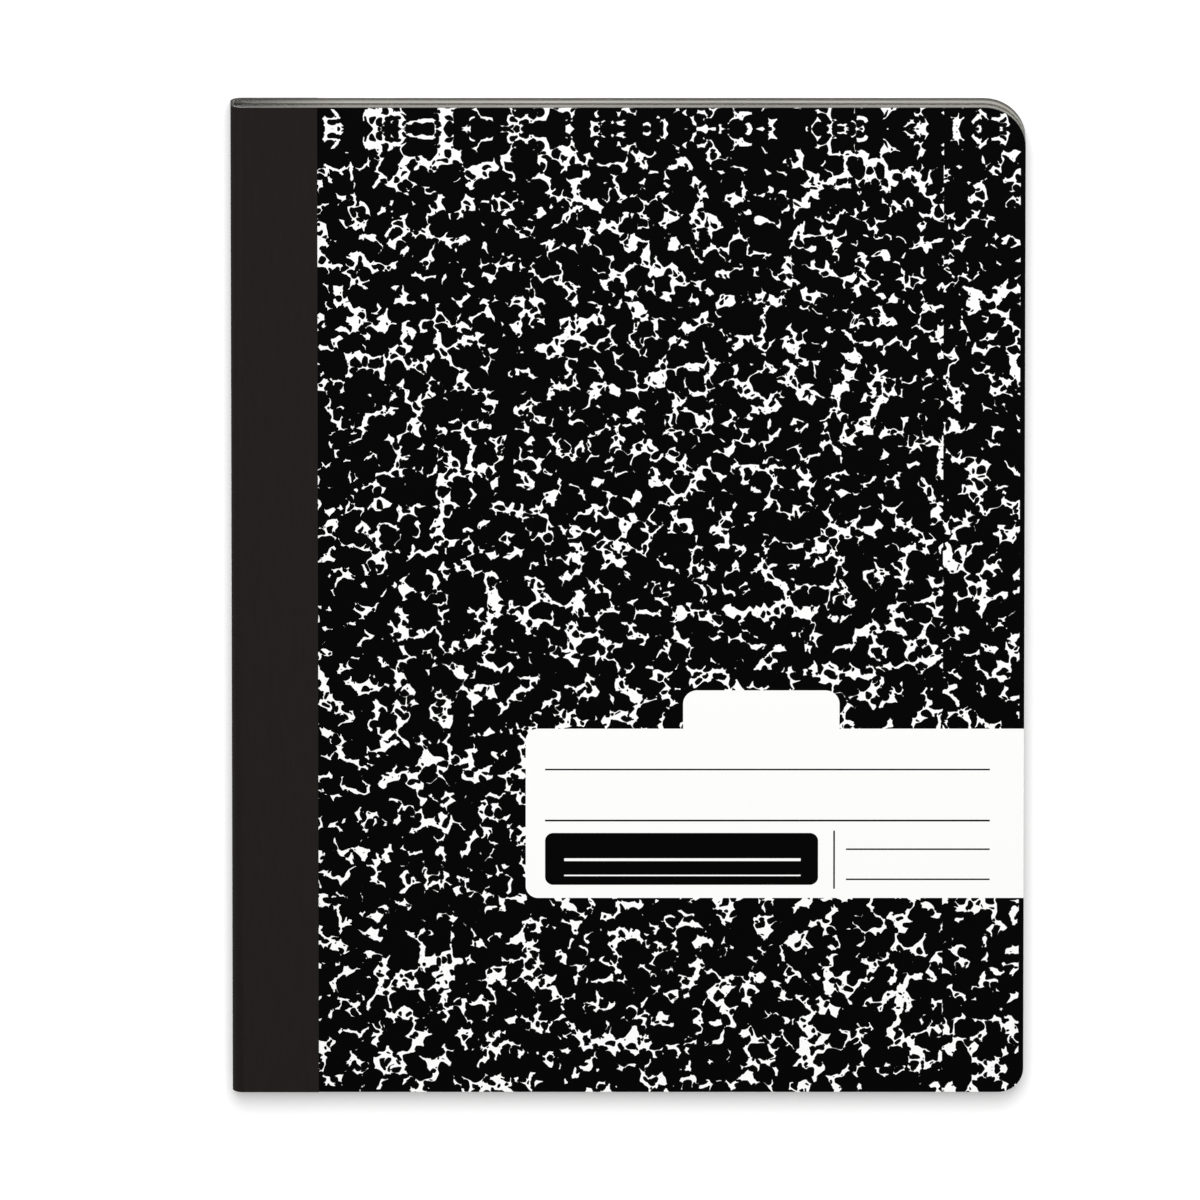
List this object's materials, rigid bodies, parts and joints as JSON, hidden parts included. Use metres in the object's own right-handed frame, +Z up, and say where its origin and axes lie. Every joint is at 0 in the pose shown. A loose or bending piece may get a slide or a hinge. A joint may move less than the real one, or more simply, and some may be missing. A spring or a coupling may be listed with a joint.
{
  "type": "composition notebook",
  "caption": "Sewn composition notebook with marbled card covers, a cloth-taped spine, a blank front label and two hinged covers.",
  "frame": {"origin": "middle of the footprint, on the surface that the closed notebook lies on", "axes": "+Z up through the thickness to the front cover, +Y towards the head, +X towards the fore edge, spine at -X"},
  "size_m": [0.1906, 0.2476, 0.0086],
  "materials": {
    "writing_paper": "uncoated",
    "cover_card": "pressed card, printed black and white outside",
    "cloth_tape": "fine black cloth",
    "sewing_thread": "matt"
  },
  "bodies": {
    "leaves": {"page_block": "writing_paper", "cover_spine": "cover_card", "spine_tape": "cloth_tape", "outer_thread": "sewing_thread", "inner_thread": "sewing_thread"},
    "front": {"front_cover": "cover_card", "front_tape": "cloth_tape"},
    "back": {"back_cover": "cover_card", "back_tape": "cloth_tape"}
  },
  "joints": [
    {"name": "front_cover_hinge", "type": "hinge", "parent": "leaves", "child": "front", "pos_m": [-0.08925, 0, 0.00865], "axis": [0, -1, 0], "range_deg": [0, 180]},
    {"name": "back_cover_hinge", "type": "hinge", "parent": "leaves", "child": "back", "pos_m": [-0.08925, 0, -0.00005], "axis": [0, 1, 0], "range_deg": [0, 180]}
  ]
}
